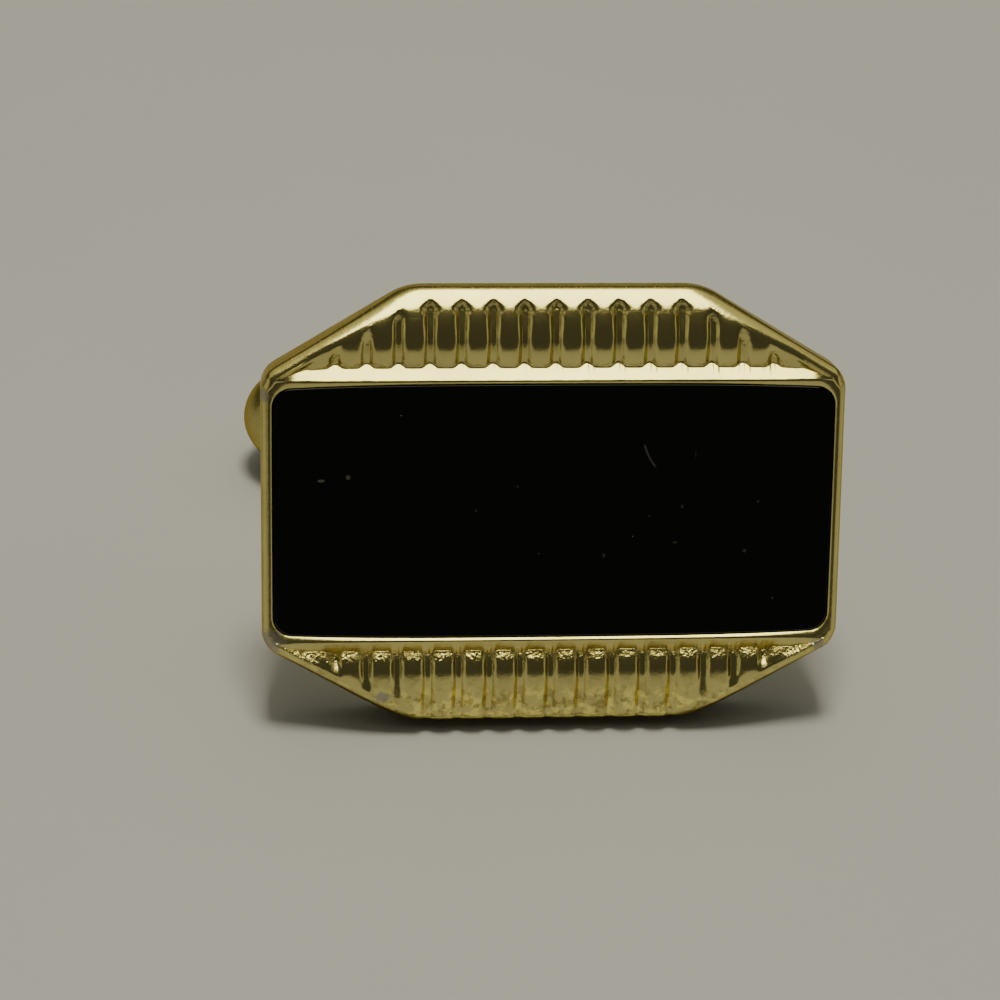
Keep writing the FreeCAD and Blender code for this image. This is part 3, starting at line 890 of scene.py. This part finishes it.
def plain_gold(name, colour, brush, polish):
    """Gilt on the rear pieces: cloudy tone and brush marks, which run along the given stretch of the
    axes."""
    material, shader, mm = start(name)
    dull = (*(0.84 * c for c in colour[:3]), 1)
    bright = (*(1.14 * c for c in colour[:3]), 1)
    cloud = mm.noise(0.5, 3.0)
    strokes = mm.stretched(*brush).noise(1.0, 4.0, 0.6)
    tone = (0.6 * cloud + 0.4 * strokes).between(0.3, 0.7)
    rub = mm.noise(1.3, 4.0).between(0.58, 0.72)
    feed(
        shader,
        Base_Color=(0.6 * rub).blend(tone.blend(colour, dull), bright),
        Roughness=polish + 0.16 * strokes + 0.08 * cloud,
        Normal=roughen(mm, strokes + 0.3 * mm.noise(9.0), 0.006),
    )
    shader.inputs["Metallic"].default_value = 1.0
    shader.inputs["Specular Tint"].default_value = GOLD_GLANCE
    return material


# Nicks in the stone's polish as (place along, place up, half length, half height, how pale), in
# millimetres, and how pale the curved scratch is
NICKS = [
    (-7.57, 1.09, 0.14, 0.06, 0.24), (-6.7, 1.2, 0.09, 0.1, 0.2), (-2.55, 0.06, 0.05, 0.07, 0.07),
    (-1.2, 0.86, 0.05, 0.07, 0.07), (4.6, 1.9, 0.03, 0.17, 0.05), (4.2, 0.15, 0.06, 0.08, 0.09),
    (4.0, -1.06, 0.1, 0.05, 0.1), (1.66, -1.48, 0.06, 0.08, 0.1), (6.3, -1.36, 0.08, 0.08, 0.1),
    (6.7, 0.3, 0.06, 0.06, 0.08),
]
SCRATCH_PALE = 0.14


def polished_black():
    """Black stone: deep polish with faint cloudy wear, light scratches, nicks and a few grains of dust."""
    material, shader, mm = start("black_polish")
    along_it = mm.node("ShaderNodeSeparateXYZ", {}, {0: mm}, 0)
    dot = mm.node("ShaderNodeVectorMath", {"operation": "DOT_PRODUCT"}, {0: mm, 1: tuple(up_face)}, 1)
    up_it = dot - float(face_origin @ up_face) * 1000
    bend = up_it - 1.85
    scratch = 1 - (along_it - 3.06 + 0.5 * bend - 0.35 * bend * bend).size().between(0.02, 0.055)
    nick = SCRATCH_PALE * scratch * (1 - bend.size().between(0.3, 0.42))
    for x, z, wide, high, pale in NICKS:
        reach = ((along_it - x) * (1 / wide)) ** 2 + ((up_it - z) * (1 / high)) ** 2
        nick = nick.math("MAXIMUM", nick, pale * (1 - reach.between(0.3, 1.0)))
    cloud = mm.noise(0.6, 4.0)
    lines = hairlines(mm, 14.0, 0.35)
    cells = mm.node("ShaderNodeTexVoronoi", {}, {"Vector": mm, "Scale": 2.2})
    dust = (1 - cells.between(0.012, 0.05)) * mm.noise(0.9, 2.0).between(0.52, 0.6)
    dust = dust.math("MAXIMUM", dust, nick)
    feed(
        shader,
        Base_Color=(0.75 * dust).blend((0.0008, 0.0009, 0.0009, 1), (0.32, 0.31, 0.30, 1)),
        Roughness=0.045 + 0.05 * cloud + 0.05 * lines + 0.5 * dust,
        Normal=roughen(mm, 0.4 * cloud + 0.06 * lines + 0.4 * dust, 0.004),
    )
    shader.inputs["IOR"].default_value = 1.5
    return material


def spring_metal():
    """Grey spring strip with a faint grain along it."""
    material, shader, mm = start("spring_strip")
    grain = mm.stretched(0.6, 16, 16).noise(1.0, 4.0)
    feed(
        shader,
        Base_Color=grain.between(0.3, 0.7).blend((0.36, 0.36, 0.38, 1), (0.56, 0.56, 0.57, 1)),
        Roughness=0.24 + 0.2 * grain,
        Normal=roughen(mm, grain, 0.004),
    )
    shader.inputs["Metallic"].default_value = 1.0
    return material


def cement_paste():
    """Greyish cement bed with small grains."""
    material, shader, mm = start("cement_paste")
    grain = mm.noise(7.0, 4.0)
    feed(
        shader,
        Base_Color=grain.between(0.3, 0.7).blend((0.25, 0.24, 0.21, 1), (0.42, 0.40, 0.36, 1)),
        Roughness=0.6 + 0.3 * grain,
        Normal=roughen(mm, grain, 0.02),
    )
    return material


def floor_finish():
    """Plain pale grey surface, very slightly uneven in tone."""
    material, shader, mm = start("pale_floor")
    tone = mm.noise(0.05, 3.0)
    feed(shader, Base_Color=tone.blend((0.255, 0.255, 0.31, 1), (0.28, 0.28, 0.335, 1)))
    shader.inputs["Roughness"].default_value = 0.7
    return material


# The pieces, with their finishes
make_face(face_gold())
make_stone(polished_black())
make_plate(plain_gold("gilt_plate", GOLD, (0.5, 9, 9), 0.12))
make_pad(plain_gold("gilt_pad", GOLD, (6, 6, 6), 0.12))
make_post(plain_gold("gilt_post", GOLD, (9, 0.6, 0.6), 0.1))
# The bar's darker gold is painted shade: it stands behind the face
bar_gold = plain_gold("gilt_bar", GOLD_BAR_SHADE, (0.4, 9, 9), 0.16)
make_tube(bar_gold)
make_nose(bar_gold)
make_heel(bar_gold)
make_spring(spring_metal())
make_pin(plain_gold("gilt_pin", GOLD_DULL, (7, 7, 7), 0.14))
frame["nodes"]["stone_cement"].data.materials.clear()
frame["nodes"]["stone_cement"].data.materials.append(cement_paste())

# Floor, lights and camera
floor_mesh = bpy.data.meshes.new("floor")
floor_mesh.from_pydata([(-3, -3, 0), (3, -3, 0), (3, 3, 0), (-3, 3, 0)], [], [(0, 1, 2, 3)])
floor_mesh.materials.append(floor_finish())
floor = bpy.data.objects.new("floor", floor_mesh)
bpy.context.scene.collection.objects.link(floor)

WARM = (1.0, 0.975, 0.64)


def soft_light(name, place_at, aim, size, radiance, mirrored=True, cast=True):
    """Rectangular soft light at a place, aimed at a point. Its power is pi times its area times the wanted
    brightness. It can be kept out of mirrored light, or out of diffuse light."""
    data = bpy.data.lights.new(name, "AREA")
    data.shape = "RECTANGLE"
    data.size, data.size_y = size
    data.energy = radiance * math.pi * size[0] * size[1]
    data.color = WARM
    lamp = bpy.data.objects.new(name, data)
    lamp.location = place_at
    lamp.rotation_mode = "QUATERNION"
    lamp.rotation_quaternion = (Vector(aim) - Vector(place_at)).to_track_quat("-Z", "Y")
    lamp.visible_camera = False
    lamp.visible_glossy = mirrored
    lamp.visible_diffuse = cast
    bpy.context.scene.collection.objects.link(lamp)


soft_light("over", (0, 0.04, 0.14), (0, 0.04, 0), (0.11, 0.133), 5.6, cast=False)
soft_light("over_front", (0, -0.058, 0.14), (0, -0.058, 0), (0.11, 0.063), 5.2, cast=False)
soft_light("above", (0, 0, 0.35), (0, 0, 0), (0.08, 0.08), 70, mirrored=False)
soft_light("sheet", (0, 0.06, 0.16), (0, 0.06, 0), (0.66, 0.30), 0.5)
soft_light("left", (-0.5, -0.08, 0.085), (0, -0.08, 0.085), (0.40, 0.15), 0.42)
soft_light("right", (0.5, -0.08, 0.085), (0, -0.08, 0.085), (0.40, 0.15), 0.42)

world = bpy.data.worlds.new("studio")
world.use_nodes = True
world.node_tree.nodes["Background"].inputs["Color"].default_value = (0.055, 0.054, 0.048, 1)
bpy.context.scene.world = world

# Camera: its angles, its distance from the middle of the face's rear, its focal length and the shift of
# its aim, both in pixels of a picture of the given width, and the width of its sensor in millimetres
azimuth, elevation, roll = np.radians((6.985, 34.858, 3.572))
DISTANCE = 0.102973
FOCAL = 3100
AIM_RIGHT, AIM_UP = -47.461, -4.173
PICTURE = 1000
SENSOR = 36
level = np.array([math.cos(azimuth), -math.sin(azimuth), 0.0])
ahead = math.cos(elevation) * np.array([math.sin(azimuth), math.cos(azimuth), 0.0])
ahead[2] = -math.sin(elevation)
upright = np.cross(level, ahead)
right = math.cos(roll) * level + math.sin(roll) * upright
upright = math.cos(roll) * upright - math.sin(roll) * level
eye = face_origin - DISTANCE * ahead
ahead = ahead + right * AIM_RIGHT / FOCAL + upright * AIM_UP / FOCAL
ahead /= np.linalg.norm(ahead)
right -= ahead * (right @ ahead)
right /= np.linalg.norm(right)
upright = np.cross(right, ahead)
camera_data = bpy.data.cameras.new("camera")
camera_data.sensor_width = SENSOR
camera_data.lens = FOCAL * SENSOR / PICTURE
camera_data.clip_start = 0.005
camera = bpy.data.objects.new("camera", camera_data)
turn = Matrix((right, upright, -ahead)).transposed()
camera.matrix_world = Matrix.Translation(eye) @ turn.to_4x4()
bpy.context.scene.collection.objects.link(camera)
bpy.context.scene.camera = camera
